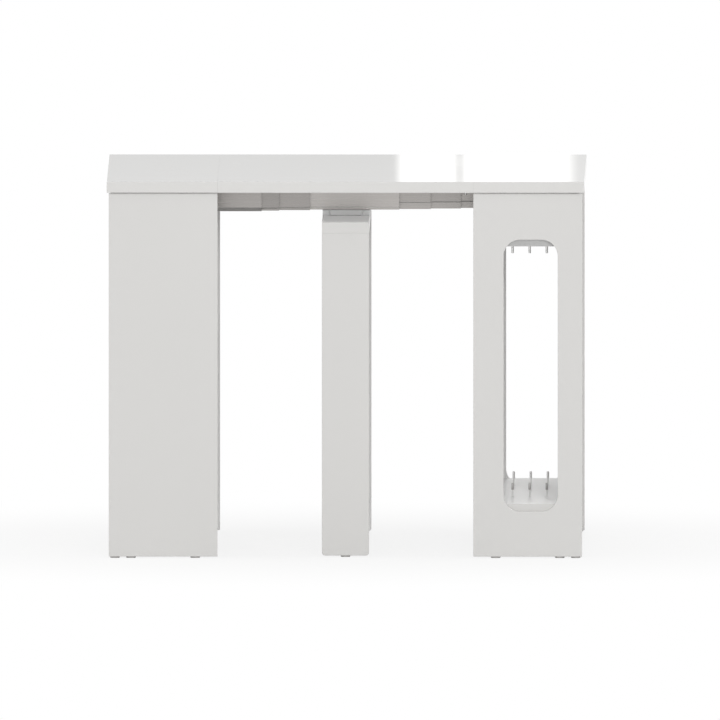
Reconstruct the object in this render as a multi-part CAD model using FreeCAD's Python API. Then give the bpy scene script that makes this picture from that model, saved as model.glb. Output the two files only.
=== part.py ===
import FreeCAD, Part
import os
from FreeCAD import Vector

# An extending console table, opened out with one leaf fitted. Millimetres.
# X runs along the extension, Y from the front of the table to its back, Z up.
# The origin is on the floor, under the middle of the table.

# Tops and leaf
table_width = 900.0
half_top_depth = 221.0
leaf_depth = 510.0
top_thickness = 22.0
seam_clearance = 0.1
edge_radius = 1.0

# Columns
panel_height = 725.0
panel_thickness = 22.0
end_panel_thickness = 18.0
end_panel_recess = 4.0
top_end_overhang = 4.0
top_side_overhang = 5.0
shadow_gap = 2.0
spacer_diameter = 12.0
panel_spacer_shares = (0.2, 0.8)
end_spacer_shares = (-0.5, 0.5)

# Feet
foot_height = 3.0
foot_diameter = 19.0
foot_chamfer = 0.8
foot_edge_distance = 44.5
foot_corner_distance = 12.5

# Window and leaf rack in the right column
window_width = 108.0
window_radius = 33.0
window_inset = 60.4
window_sill = 90.0
window_head = 92.0
rack_board_thickness = 18.0
rack_floor_rise = 14.0
rack_ceiling_drop = 14.5
nested_leg_clearance = 5.0
pin_length = 28.0
pin_stem_diameter = 2.6
pin_sleeve_diameter = 5.0
pin_sleeve_length = 14.0
pin_tip_chamfer = 0.8
pin_collar_diameter = 7.0
pin_collar_height = 1.0
pin_pitch = 34.1
pin_row_offset = -3.5
pin_row_setback = 260.0
pins_per_row = 3

# Rails, numbered from the left end to the right end
rail_count = 7
rail_length = 281.0
rail_height = 46.0
rail_thickness = 17.4
rail_gap = 0.6
rail_wall = 2.0
rail_corner_radius = 0.8
centre_rail_distance = 193.0
rail_end_clearance = 0.8
rail_seat_length = 86.0
rail_step_shares = (0.0684, 0.1202, 0.3498, 0.1227, 0.1181, 0.2208)
slide_clearance = 0.3
lip_thickness = 3.0
head_thickness = 3.0
head_lip = 3.0
head_top_margin = 3.5
tall_head_margin = 6.3
low_head_margin = 14.5
root_groove_height = 2.2
root_groove_depth = 1.0
wear_strip_height = 7.4
wear_strip_depth = 3.0

# Packers and pads on top of the rails
packer_thickness = 3.0
packer_length = 30.0
left_packer_shares = (0.2, 0.8)
right_packer_shares = (0.25, 0.75)
pad_length = 40.0
centre_pad_shares = (0.15, 0.85)

# Centre leg
leg_width = 94.0
leg_setback = 34.0
leg_board_thickness = 22.0
leg_cap_thickness = 22.0
leg_corner_radius = 6.0
leg_seam_radius = 0.5
dovetail_height = 12.0
dovetail_top_width = 68.0
dovetail_bottom_width = 60.0
joint_rebate = 1.2
joint_rebate_depth = 4.0
socket_clearance = 1.2

# Angle brackets and their screws
bracket_leg = 24.0
bracket_thickness = 2.5
bracket_width = 30.0
bracket_bend_radius = 2.0
bracket_hole_share = 0.62
corner_bracket_shares = (0.06, 0.5, 0.94)
panel_bracket_shares = (0.35, 0.8)
end_bracket_shares = (-0.88, 0.0, 0.88)
leg_bracket_shares = (-0.27, 0.27)
screw_diameter = 4.0
screw_hole_clearance = 0.1
screw_head_diameter = 8.0
screw_head_height = 2.2
screw_dome_share = 0.8
screw_flat_share = 0.35

# Levels
panel_bottom = foot_height
panel_top = panel_bottom + panel_height
top_underside = panel_top + shadow_gap
top_surface = top_underside + top_thickness
rail_top = top_underside - packer_thickness
rail_bottom = rail_top - rail_height
leg_top = rail_bottom - dovetail_height
leg_board_top = leg_top - leg_cap_thickness
window_bottom = panel_bottom + window_sill
window_top = panel_top - window_head
rack_floor_top = window_bottom + rack_floor_rise
rack_ceiling_bottom = window_top - rack_ceiling_drop

# Places along X, for the right half of the table
inner_edge = leaf_depth / 2 + seam_clearance
top_end = inner_edge + half_top_depth
outer_edge = top_end - top_end_overhang
end_outside = outer_edge - end_panel_recess
end_inside = end_outside - end_panel_thickness
column_width = outer_edge - inner_edge
window_middle = inner_edge + window_inset + window_width / 2
rack_start = inner_edge + leg_width / 2 + nested_leg_clearance
rail_1_start = -end_inside + rail_end_clearance
rail_7_start = inner_edge + rail_seat_length - rail_length

# Places along Y, for the back half of the table
top_side = table_width / 2
panel_outside = top_side - top_side_overhang
panel_inside = panel_outside - panel_thickness
panel_middle = panel_outside - panel_thickness / 2
leg_outside = panel_outside - leg_setback
leg_inside = leg_outside - leg_board_thickness
pin_row = panel_outside - pin_row_setback
rail_pitch = rail_thickness + rail_gap

# The sliding fit between two rails
head_reach = rail_gap + lip_thickness + slide_clearance
slot_depth = head_thickness + 2 * slide_clearance
slot_floor = rail_thickness - lip_thickness - slot_depth

# How near two places count as one
same_place = 0.01

LEFT = -1
RIGHT = 1
FRONT = -1
BACK = 1


def near(first, second):
    """Whether two places along an axis are the same."""
    return abs(first - second) < same_place


def span(low, high):
    """Put two ends of an interval in rising order."""
    return min(low, high), max(low, high)


def block(x_ends, y_ends, z_ends):
    """A plain block between three pairs of ends, given in any order."""
    x_low, x_high = span(*x_ends)
    y_low, y_high = span(*y_ends)
    z_low, z_high = span(*z_ends)
    corner = Vector(x_low, y_low, z_low)
    return Part.makeBox(x_high - x_low, y_high - y_low, z_high - z_low, corner)


def soften(solid, radius, keep):
    """Round the edges of a solid whose middle point the test `keep` accepts."""
    chosen = [edge for edge in solid.Edges if keep(edge.CenterOfMass)]
    return solid.makeFillet(radius, chosen)


def outline_wire(points):
    """A closed wire through corner points."""
    return Part.makePolygon(points + points[:1])


def revolved(profile):
    """Turn a face about the Z axis into a solid."""
    return Part.Face(profile).revolve(Vector(0, 0, 0), Vector(0, 0, 1), 360)


def seated(solid, origin, first_axis, second_axis):
    """Move a solid so that its X, Y and Z lie along two given axes and their cross product."""
    third_axis = first_axis.cross(second_axis)
    matrix = FreeCAD.Matrix(
        first_axis.x, second_axis.x, third_axis.x, origin.x,
        first_axis.y, second_axis.y, third_axis.y, origin.y,
        first_axis.z, second_axis.z, third_axis.z, origin.z,
    )
    return solid.transformed(matrix, copy=True)


def group(solids):
    """Keep like pieces together as separate solids."""
    return Part.makeCompound(solids)


# Tops and leaf


def half_top(side):
    """One half top, with sharp edges only where it meets the leaf."""
    seam = side * inner_edge
    slab = block((seam, side * top_end), (-top_side, top_side), (top_underside, top_surface))
    return soften(slab, edge_radius, lambda middle: abs(middle.x - seam) > edge_radius)


def leaf_board():
    """The extension leaf, rounded along the front and back of the table."""
    half_depth = leaf_depth / 2
    slab = block((-half_depth, half_depth), (-top_side, top_side), (top_underside, top_surface))
    return soften(slab, edge_radius, lambda middle: abs(middle.x) < edge_radius)


# Columns


def plain_panel(side, face):
    """A front or back panel of a column, its edges softly rounded."""
    board = block(
        (side * inner_edge, side * outer_edge),
        (face * panel_inside, face * panel_outside),
        (panel_bottom, panel_top),
    )
    return board.makeFillet(edge_radius, board.Edges)


def window_prism(face):
    """The round-cornered window, as a block that passes through its panel."""
    half_width = window_width / 2
    middle = face * panel_middle
    prism = block(
        (window_middle - half_width, window_middle + half_width),
        (middle - panel_thickness, middle + panel_thickness),
        (window_bottom, window_top),
    )
    return soften(prism, window_radius, lambda place: near(place.y, middle))


def windowed_panel(face):
    """A panel of the right column, the rim of the rack's window softly rounded on both faces."""
    panel = plain_panel(RIGHT, face).cut(window_prism(face))

    def on_rim(place):
        """Whether an edge lies on a face of the panel, round the window."""
        on_face = near(abs(place.y), panel_outside) or near(abs(place.y), panel_inside)
        across = abs(place.x - window_middle) < window_width / 2 + same_place
        upright = window_bottom - same_place < place.z < window_top + same_place
        return on_face and across and upright

    return soften(panel, edge_radius, on_rim)


def end_panel(side):
    """The end panel, set back between the front and back panels."""
    return block(
        (side * end_inside, side * end_outside),
        (-panel_inside, panel_inside),
        (panel_bottom, panel_top),
    )


def spacers(side):
    """Discs that hold the shadow gap between the panels and the half top."""
    places = []
    for share in panel_spacer_shares:
        x_place = side * (inner_edge + share * column_width)
        places.append((x_place, -panel_middle))
        places.append((x_place, panel_middle))
    for share in end_spacer_shares:
        places.append((side * (end_inside + end_panel_thickness / 2), share * panel_inside))
    radius = spacer_diameter / 2
    return group([Part.makeCylinder(radius, shadow_gap, Vector(x, y, panel_top)) for x, y in places])


# Feet


def glide(x_place, y_place):
    """A low round glide with a chamfered tread."""
    radius = foot_diameter / 2
    profile = outline_wire([
        Vector(0, 0, 0),
        Vector(radius - foot_chamfer, 0, 0),
        Vector(radius, 0, foot_chamfer),
        Vector(radius, 0, foot_height),
        Vector(0, 0, foot_height),
    ])
    foot = revolved(profile)
    foot.translate(Vector(x_place, y_place, 0))
    return foot


def column_feet(side):
    """Three glides under the front panel and three under the back panel."""
    x_places = (
        side * (inner_edge + foot_edge_distance),
        side * (outer_edge - foot_edge_distance),
        side * (outer_edge - foot_corner_distance),
    )
    return group([glide(x, face * panel_middle) for face in (FRONT, BACK) for x in x_places])


def leg_feet():
    """One glide under each board of the centre leg."""
    foot_line = leg_outside - leg_board_thickness / 2
    return group([glide(0, face * foot_line) for face in (FRONT, BACK)])


# Leaf rack


def rack_board(lower, upper):
    """A shelf of the rack, between the panels and clear of the nested centre leg."""
    return block((rack_start, end_inside), (-panel_inside, panel_inside), (lower, upper))


def rack_pin():
    """A guide pin standing on its board at the origin: a collar, a thin stem and a thicker sleeve."""
    collar = pin_collar_diameter / 2
    stem = pin_stem_diameter / 2
    sleeve = pin_sleeve_diameter / 2
    sleeve_bottom = pin_length - pin_sleeve_length
    profile = outline_wire([
        Vector(0, 0, 0),
        Vector(collar, 0, 0),
        Vector(collar, 0, pin_collar_height),
        Vector(stem, 0, pin_collar_height),
        Vector(stem, 0, sleeve_bottom),
        Vector(sleeve, 0, sleeve_bottom),
        Vector(sleeve, 0, pin_length - pin_tip_chamfer),
        Vector(sleeve - pin_tip_chamfer, 0, pin_length),
        Vector(0, 0, pin_length),
    ])
    return revolved(profile)


def rack_pins(level, upward):
    """Two rows of guide pins, standing up from the floor or hanging from the ceiling."""
    first_axis = Vector(1, 0, 0)
    second_axis = Vector(0, upward, 0)
    pins = []
    for face in (FRONT, BACK):
        for index in range(pins_per_row):
            x_place = window_middle + pin_row_offset + (index - (pins_per_row - 1) / 2) * pin_pitch
            place = Vector(x_place, face * pin_row, level)
            pins.append(seated(rack_pin(), place, first_axis, second_axis))
    return group(pins)


# Rails


def rail_start(number):
    """The left end of a rail, by its share of the way from rail 1 to rail 7."""
    passed = sum(rail_step_shares[:number - 1])
    return rail_1_start + passed * (rail_7_start - rail_1_start) / sum(rail_step_shares)


def rail_face(number):
    """How far a rail's outer face lies from the middle of the table."""
    middle_number = (rail_count + 1) / 2
    return centre_rail_distance + (middle_number - number) * rail_pitch


def head_margin(number):
    """The height left below the T-head of a rail: tall heads left of the centre, low ones right."""
    return tall_head_margin if number <= (rail_count + 1) / 2 else low_head_margin


def outer_side(number):
    """The outer side of a rail's section, from bottom to top, with its T-head and the groove at its root."""
    if number == 1:
        return [(wear_strip_depth, 0), (wear_strip_depth, wear_strip_height), (0, wear_strip_height),
                (0, rail_height)]
    head_low = head_margin(number)
    head_high = rail_height - head_top_margin
    neck_low = head_low + head_lip
    neck_high = head_high - head_lip
    head_face = head_reach + head_thickness
    groove_low = head_low - root_groove_height
    return [
        (0, 0), (0, groove_low), (root_groove_depth, groove_low), (root_groove_depth, neck_low),
        (-head_reach, neck_low), (-head_reach, head_low), (-head_face, head_low), (-head_face, head_high),
        (-head_reach, head_high), (-head_reach, neck_high), (0, neck_high), (0, rail_height),
    ]


def inner_side(number):
    """The inner side of a rail's section, from top to bottom, with the slot for the next rail's head."""
    if number == rail_count:
        return [(rail_thickness, rail_height), (rail_thickness, 0)]
    slot_low = head_margin(number + 1) - slide_clearance
    slot_high = rail_height - head_top_margin + slide_clearance
    mouth_low = slot_low + head_lip
    mouth_high = slot_high - head_lip
    lip_back = rail_thickness - lip_thickness
    return [
        (rail_thickness, rail_height), (rail_thickness, mouth_high), (lip_back, mouth_high),
        (lip_back, slot_high), (slot_floor, slot_high), (slot_floor, slot_low), (lip_back, slot_low),
        (lip_back, mouth_low), (rail_thickness, mouth_low), (rail_thickness, 0),
    ]


def chamber(number):
    """The hollow inside a rail's section, behind its outer wall."""
    low = rail_wall + (wear_strip_height if number == 1 else 0)
    high = rail_height - rail_wall
    back = rail_thickness - rail_wall if number == rail_count else slot_floor - rail_wall
    return [(rail_wall, low), (back, low), (back, high), (rail_wall, high)]


def section_wire(number, face, points):
    """A section outline of a rail, set at its place at the front or back of the table."""
    start = rail_start(number)
    outside = rail_face(number)
    corners = [Vector(start, face * (outside - depth), rail_bottom + height) for depth, height in points]
    return outline_wire(corners)


def rail(number, face):
    """One rail: its section, less its chamber, drawn out along X."""
    outer = section_wire(number, face, outer_side(number) + inner_side(number))
    hollow = section_wire(number, face, chamber(number))
    solid = Part.Face([outer, hollow]).extrude(Vector(rail_length, 0, 0))
    inside = rail_face(number) - rail_thickness

    def inner_corner(middle):
        """Whether an edge is one of the two long corners on the inner side."""
        return near(abs(middle.y), inside) and (near(middle.z, rail_bottom) or near(middle.z, rail_top))

    return soften(solid, rail_corner_radius, inner_corner)


def wear_strips():
    """Dark strips let into the lower outer edge of both first rails."""
    start = rail_start(1)
    strips = []
    for face in (FRONT, BACK):
        outside = face * rail_face(1)
        inside = face * (rail_face(1) - wear_strip_depth)
        strips.append(block((start, start + rail_length), (outside, inside),
                            (rail_bottom, rail_bottom + wear_strip_height)))
    return group(strips)


def rail_pads(number, centres, length, thickness):
    """Blocks on top of a pair of rails, centred at places along X."""
    half_length = length / 2
    pads = []
    for face in (FRONT, BACK):
        outside = face * rail_face(number)
        inside = face * (rail_face(number) - rail_thickness)
        for centre in centres:
            pads.append(block((centre - half_length, centre + half_length), (outside, inside),
                              (rail_top, rail_top + thickness)))
    return group(pads)


def shared_places(low, high, shares):
    """Places at given shares of an interval."""
    return [low + share * (high - low) for share in shares]


def left_rail_packers():
    """Packers between the first rails and the left half top."""
    places = shared_places(rail_1_start, -inner_edge, left_packer_shares)
    return rail_pads(1, places, packer_length, packer_thickness)


def right_rail_packers():
    """Packers between the last rails and the right half top."""
    places = shared_places(inner_edge, inner_edge + rail_seat_length, right_packer_shares)
    return rail_pads(rail_count, places, packer_length, packer_thickness)


def left_leaf_pads():
    """Pads on the first rails that carry the leaf."""
    centre = (rail_1_start + rail_length - inner_edge) / 2
    return rail_pads(1, [centre], pad_length, packer_thickness)


def centre_leaf_pads():
    """Pads on the middle rails, a sliding clearance below the leaf."""
    middle_number = (rail_count + 1) // 2
    start = rail_start(middle_number)
    places = shared_places(start, start + rail_length, centre_pad_shares)
    return rail_pads(middle_number, places, pad_length, packer_thickness - slide_clearance)


def right_leaf_pads():
    """Pads on the last rails, a sliding clearance below the leaf."""
    centre = (rail_7_start + inner_edge) / 2
    return rail_pads(rail_count, [centre], pad_length, packer_thickness - slide_clearance)


# Centre leg


def leg_board(face):
    """A board of the centre leg, with round lower corners."""
    half_width = leg_width / 2
    board = block(
        (-half_width, half_width),
        (face * leg_inside, face * leg_outside),
        (panel_bottom, leg_board_top),
    )
    board = soften(board, leg_corner_radius,
                   lambda middle: near(middle.z, panel_bottom) and near(abs(middle.x), half_width))
    outer_face = face * leg_outside
    return soften(board, edge_radius,
                  lambda middle: near(middle.y, outer_face) and not near(middle.z, leg_board_top))


def leg_cap():
    """The cap that joins the two boards of the centre leg, eased where it meets their faces."""
    half_width = leg_width / 2
    cap = block((-half_width, half_width), (-leg_outside, leg_outside), (leg_board_top, leg_top))
    cap = soften(cap, edge_radius, lambda middle: near(middle.z, leg_top))
    return soften(cap, leg_seam_radius,
                  lambda middle: near(middle.z, leg_board_top) and near(abs(middle.y), leg_outside))


def under_rail(face, corners):
    """A block under a middle rail and as deep as it, from the X and Z of its corners."""
    outside = face * centre_rail_distance
    section = outline_wire([Vector(x, outside, z) for x, z in corners])
    return Part.Face(section).extrude(Vector(0, -face * rail_thickness, 0))


def joint_rebates(face, levels):
    """Blocks that rebate the outer face under a middle rail, upwards from each level."""
    half_width = leg_width / 2
    outside = face * centre_rail_distance
    depth = (outside, outside - face * joint_rebate_depth)
    return group([block((-half_width, half_width), depth, (level, level + joint_rebate)) for level in levels])


def leg_dovetail(face):
    """The dovetail block between the cap and a middle rail, its outer face rebated above and below."""
    half_top_width = dovetail_top_width / 2
    half_bottom_width = dovetail_bottom_width / 2
    wedge = under_rail(face, [
        (-half_bottom_width, leg_top),
        (half_bottom_width, leg_top),
        (half_top_width, rail_bottom),
        (-half_top_width, rail_bottom),
    ])
    return wedge.cut(joint_rebates(face, (leg_top, rail_bottom - joint_rebate)))


def leg_sockets():
    """The cheeks on both sides of the dovetails, rebated along their outer upper edges."""
    outer = leg_width / 2
    low_inner = dovetail_bottom_width / 2 + socket_clearance
    high_inner = dovetail_top_width / 2 + socket_clearance
    low = leg_top + slide_clearance
    cheeks = []
    for face in (FRONT, BACK):
        rebate = joint_rebates(face, (rail_bottom - joint_rebate,))
        for side in (LEFT, RIGHT):
            cheek = under_rail(face, [
                (side * low_inner, low),
                (side * outer, low),
                (side * outer, rail_bottom),
                (side * high_inner, rail_bottom),
            ])
            cheeks.append(cheek.cut(rebate))
    return group(cheeks)


# Angle brackets


def angle_bracket():
    """A folded angle in the corner at the origin: legs along X and Y, folded about Z."""
    half_width = bracket_width / 2
    outline = outline_wire([
        Vector(0, 0, -half_width),
        Vector(bracket_leg, 0, -half_width),
        Vector(bracket_leg, bracket_thickness, -half_width),
        Vector(bracket_thickness, bracket_thickness, -half_width),
        Vector(bracket_thickness, bracket_leg, -half_width),
        Vector(0, bracket_leg, -half_width),
    ])
    angle = Part.Face(outline).extrude(Vector(0, 0, bracket_width))
    angle = soften(angle, bracket_bend_radius,
                   lambda middle: near(middle.x, bracket_thickness) and near(middle.y, bracket_thickness))
    hole_place = bracket_leg * bracket_hole_share
    radius = screw_diameter / 2 + screw_hole_clearance
    through = 3 * bracket_thickness
    first = Part.makeCylinder(radius, through, Vector(hole_place, -bracket_thickness, 0), Vector(0, 1, 0))
    second = Part.makeCylinder(radius, through, Vector(-bracket_thickness, hole_place, 0), Vector(1, 0, 0))
    return angle.cut(first).cut(second)


def screw():
    """A round-headed screw, its head on the bracket's face at the origin and its end on the board."""
    head = screw_head_diameter / 2
    shank = screw_diameter / 2
    flat = head * screw_flat_share
    dome = Part.Arc(
        Vector(head, 0, 0),
        Vector(head * screw_dome_share, 0, screw_head_height * screw_dome_share),
        Vector(flat, 0, screw_head_height),
    ).toShape()
    straight = Part.makePolygon([
        Vector(flat, 0, screw_head_height),
        Vector(0, 0, screw_head_height),
        Vector(0, 0, -bracket_thickness),
        Vector(shank, 0, -bracket_thickness),
        Vector(shank, 0, 0),
        Vector(head, 0, 0),
    ])
    return revolved(Part.Wire([dome] + straight.Edges))


def bracket_screws():
    """The two screws of an angle bracket in its own corner."""
    hole_place = bracket_leg * bracket_hole_share
    x_axis = Vector(1, 0, 0)
    y_axis = Vector(0, 1, 0)
    z_axis = Vector(0, 0, 1)
    first = seated(screw(), Vector(hole_place, bracket_thickness, 0), z_axis, x_axis)
    second = seated(screw(), Vector(bracket_thickness, hole_place, 0), y_axis, z_axis)
    return [first, second]


def corner_frames(side):
    """Corners between the front or back panel and the end panel, at three heights."""
    frames = []
    for face in (FRONT, BACK):
        for share in corner_bracket_shares:
            origin = Vector(side * end_inside, face * panel_inside, panel_bottom + share * panel_height)
            frames.append((origin, Vector(-side, 0, 0), Vector(0, -face, 0)))
    return frames


def top_frames(side):
    """Corners between the panels and the underside of the half top."""
    down = Vector(0, 0, -1)
    frames = []
    for face in (FRONT, BACK):
        for place in shared_places(inner_edge, end_inside, panel_bracket_shares):
            origin = Vector(side * place, face * panel_inside, top_underside)
            frames.append((origin, Vector(0, -face, 0), down))
    for share in end_bracket_shares:
        origin = Vector(side * end_inside, share * panel_inside, top_underside)
        frames.append((origin, Vector(-side, 0, 0), down))
    return frames


def leg_frames():
    """Corners between the leg's boards and the underside of its cap."""
    down = Vector(0, 0, -1)
    frames = []
    for face in (FRONT, BACK):
        for share in leg_bracket_shares:
            origin = Vector(share * leg_width, face * leg_inside, leg_board_top)
            frames.append((origin, Vector(0, -face, 0), down))
    return frames


def brackets_at(frames):
    """One angle bracket in each corner."""
    return group([seated(angle_bracket(), *frame) for frame in frames])


def screws_at(frames):
    """The screws of the bracket in each corner."""
    return group([seated(fastener, *frame) for frame in frames for fastener in bracket_screws()])


def column_nodes(name, side):
    """The pieces that both ends of the table have, apart from the front and back panels."""
    return {
        name + "_end_panel": end_panel(side),
        name + "_half_top": half_top(side),
        name + "_top_spacers": spacers(side),
        name + "_feet": column_feet(side),
        name + "_corner_brackets": brackets_at(corner_frames(side)),
        name + "_corner_screws": screws_at(corner_frames(side)),
        name + "_top_brackets": brackets_at(top_frames(side)),
        name + "_top_screws": screws_at(top_frames(side)),
    }


def rail_nodes():
    """Both sets of rails, at the front and at the back of the table."""
    nodes = {}
    for number in range(1, rail_count + 1):
        nodes["rail_%d_front" % number] = rail(number, FRONT)
        nodes["rail_%d_back" % number] = rail(number, BACK)
    return nodes


def table_nodes():
    """Every piece of the table, by name."""
    nodes = {}
    nodes.update(column_nodes("left", LEFT))
    nodes.update(column_nodes("right", RIGHT))
    nodes.update(rail_nodes())
    nodes.update({
        "left_front_panel": plain_panel(LEFT, FRONT),
        "left_back_panel": plain_panel(LEFT, BACK),
        "right_front_panel": windowed_panel(FRONT),
        "right_back_panel": windowed_panel(BACK),
        "leaf": leaf_board(),
        "rail_1_wear_strips": wear_strips(),
        "left_rail_packers": left_rail_packers(),
        "right_rail_packers": right_rail_packers(),
        "left_leaf_pads": left_leaf_pads(),
        "centre_leaf_pads": centre_leaf_pads(),
        "right_leaf_pads": right_leaf_pads(),
        "leg_front_board": leg_board(FRONT),
        "leg_back_board": leg_board(BACK),
        "leg_cap": leg_cap(),
        "leg_dovetail_front": leg_dovetail(FRONT),
        "leg_dovetail_back": leg_dovetail(BACK),
        "leg_sockets": leg_sockets(),
        "leg_angle_brackets": brackets_at(leg_frames()),
        "leg_bracket_screws": screws_at(leg_frames()),
        "leg_feet": leg_feet(),
        "rack_floor": rack_board(rack_floor_top - rack_board_thickness, rack_floor_top),
        "rack_ceiling": rack_board(rack_ceiling_bottom, rack_ceiling_bottom + rack_board_thickness),
        "rack_floor_pins": rack_pins(rack_floor_top, 1),
        "rack_ceiling_pins": rack_pins(rack_ceiling_bottom, -1),
    })
    return nodes


def main():
    """Build every piece, say what it measures and write it to parts/."""
    os.makedirs("parts", exist_ok=True)
    for name, shape in sorted(table_nodes().items()):
        print(name, "solids", len(shape.Solids), "valid", shape.isValid(), "volume", round(shape.Volume))
        shape.exportStep("parts/" + name + ".step")


main()
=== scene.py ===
import logging
import math
import operator
from dataclasses import dataclass
from enum import Enum
from functools import reduce
from typing import Any, Sequence, Union

import bmesh
import bpy
import numpy as np
from mathutils import Matrix, Vector


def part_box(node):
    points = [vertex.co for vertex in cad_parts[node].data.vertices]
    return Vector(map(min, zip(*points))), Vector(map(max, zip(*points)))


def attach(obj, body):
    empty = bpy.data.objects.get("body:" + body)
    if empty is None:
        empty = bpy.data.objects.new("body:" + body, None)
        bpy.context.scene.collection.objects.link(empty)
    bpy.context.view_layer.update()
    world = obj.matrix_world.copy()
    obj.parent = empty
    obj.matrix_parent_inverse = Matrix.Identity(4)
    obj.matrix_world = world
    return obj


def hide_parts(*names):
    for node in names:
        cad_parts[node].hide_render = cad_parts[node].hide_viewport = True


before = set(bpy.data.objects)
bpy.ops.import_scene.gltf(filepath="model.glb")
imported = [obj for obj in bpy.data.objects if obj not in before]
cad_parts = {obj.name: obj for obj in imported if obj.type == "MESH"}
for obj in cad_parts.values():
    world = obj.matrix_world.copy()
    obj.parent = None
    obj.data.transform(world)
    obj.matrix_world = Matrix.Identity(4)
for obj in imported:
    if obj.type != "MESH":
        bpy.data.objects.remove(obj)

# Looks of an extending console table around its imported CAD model. Metres; X along the extension, Y from the
# front to the back, Z up.

LOG = logging.getLogger("console_table")
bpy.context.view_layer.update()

Colour = tuple[float, float, float]
Point = tuple[float, float, float]
# The inner corner of an angle bracket and the directions of its two legs.
BracketPlace = tuple[Point, Point, Point]
Number = Union[float, "Quantity"]

TURN = 2.0 * math.pi
DOWN: Point = (0.0, 0.0, -1.0)
MERGE_DISTANCE = 1.0e-6
CROWN_STEPS = 9
WHITE: Colour = (1.0, 1.0, 1.0)
WINDOW_WHITE: Colour = (1.0, 0.998, 0.992)
LACQUER: Colour = (0.69, 0.683, 0.669)
# Painted light: the top and leaf lacquer is a touch paler than the columns' for the light on them.
TOP_PAINTED_LIGHT = 1.022


class Side(Enum):
    """An end of the table, by its sign along X."""

    LEFT = -1
    RIGHT = 1


class Face(Enum):
    """The front or the back of the table, by its sign along Y."""

    FRONT = -1
    BACK = 1


class Quantity:
    """A value that changes over a surface: a node socket that takes part in Python sums."""

    def __init__(self, sheet: "NodeSheet", socket: bpy.types.NodeSocket) -> None:
        """Keep the socket and the sheet of nodes that it belongs to."""
        self.sheet = sheet
        self.socket = socket

    def __add__(self, other: Number) -> "Quantity":
        """This value plus another."""
        return self.sheet.maths("ADD", self, other)

    def __radd__(self, other: Number) -> "Quantity":
        """Another value plus this one."""
        return self.sheet.maths("ADD", other, self)

    def __sub__(self, other: Number) -> "Quantity":
        """This value less another."""
        return self.sheet.maths("SUBTRACT", self, other)

    def __rsub__(self, other: Number) -> "Quantity":
        """Another value less this one."""
        return self.sheet.maths("SUBTRACT", other, self)

    def __mul__(self, other: Number) -> "Quantity":
        """This value times another."""
        return self.sheet.maths("MULTIPLY", self, other)

    def __rmul__(self, other: Number) -> "Quantity":
        """Another value times this one."""
        return self.sheet.maths("MULTIPLY", other, self)

    def __abs__(self) -> "Quantity":
        """This value without its sign."""
        return self.sheet.maths("ABSOLUTE", self)


class NodeSheet:
    """The nodes of one material or world."""

    def __init__(self, tree: bpy.types.NodeTree) -> None:
        """Start from the empty tree of a material or a world."""
        tree.nodes.clear()
        self.tree = tree

    def add(
        self,
        kind: str,
        settings: dict[str, Any] | None = None,
        sockets: dict[str | int, Any] | None = None,
        output: str | int = 0,
    ) -> Quantity:
        """Add any node.

        Args:
            kind: The node's type, without its ShaderNode prefix.
            settings: The node's own settings, set before its sockets.
            sockets: Values or links of its input sockets, by name or place.
            output: The output socket to hand on, by name or place.

        Returns:
            The chosen output.
        """
        node = self.tree.nodes.new("ShaderNode" + kind)
        for name, value in (settings or {}).items():
            setattr(node, name, value)
        for key, value in (sockets or {}).items():
            self.feed(node.inputs[key], value)
        return Quantity(self, node.outputs[output] if node.outputs else None)

    def feed(self, socket: bpy.types.NodeSocket, value: Any) -> None:
        """Link a quantity to a socket, or set the socket's own value.

        Args:
            socket: An input socket.
            value: A quantity, a number, a vector, or a colour of three numbers.
        """
        if isinstance(value, Quantity):
            self.tree.links.new(value.socket, socket)
        elif socket.type == "RGBA":
            socket.default_value = (*value, 1.0)
        else:
            socket.default_value = value

    def maths(self, operation: str, *terms: Number) -> Quantity:
        """One step of arithmetic, on terms in the order of the Math node's sockets."""
        return self.add("Math", {"operation": operation}, dict(enumerate(terms)))

    def place(self, stretch: Point = (1.0, 1.0, 1.0)) -> Quantity:
        """Object coordinates, stretched by a factor along each axis."""
        start = self.add("TexCoord", output="Object")
        return self.add("Mapping", sockets={"Vector": start, "Scale": stretch})

    def part(self, vector: Quantity, axis: str) -> Quantity:
        """A vector's part along the axis X, Y or Z."""
        return self.add("SeparateXYZ", sockets={"Vector": vector}, output=axis)

    def noise(self, vector: Quantity, size: float, detail: float = 2.0) -> Quantity:
        """Soft noise from 0 to 1, about a half, with features of a size and a number of finer layers."""
        return self.add("TexNoise", sockets={"Vector": vector, "Scale": 1.0 / size, "Detail": detail})

    def ramp(self, value: Number, low: float, high: float, start: float = 0.0, end: float = 1.0) -> Quantity:
        """A smooth step from start, where the value is below low, to end, where it is above high."""
        limits = {"From Min": low, "From Max": high, "To Min": start, "To Max": end}
        return self.add("MapRange", {"interpolation_type": "SMOOTHSTEP"}, {"Value": value, **limits})

    def step(
        self, value: Number, level: float, blur: float, start: float = 0.0, end: float = 1.0
    ) -> Quantity:
        """A smooth step at a level, which reaches by the blur to each side of it."""
        return self.ramp(value, level - blur, level + blur, start, end)

    def blend(self, share: Number, first: Any, second: Any) -> Quantity:
        """A mix of two colours, with the share of the second one."""
        return self.add("Mix", {"data_type": "RGBA"}, {0: share, 6: first, 7: second}, output=2)

    def vary(self, share: Number, colour: Colour, spread: float) -> Quantity:
        """A colour that goes from darker to lighter by a spread as the share goes from 0 to 1."""
        return self.blend(share, shade(colour, 1.0 - spread), shade(colour, 1.0 + spread))

    def relief(self, height: Quantity, depth: float) -> Quantity:
        """A bump for a shader's Normal socket, from a height of 0 to 1 and the whole relief's depth."""
        return self.add("Bump", sockets={"Distance": depth, "Height": height})

    def finish(self, shader: Quantity, output: str = "OutputMaterial") -> None:
        """Hand the shader to the output node."""
        self.add(output, sockets={"Surface": shader})


def shade(colour: Colour, factor: float) -> Colour:
    """A colour made lighter or darker by a factor."""
    return tuple(min(1.0, part * factor) for part in colour)


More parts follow.
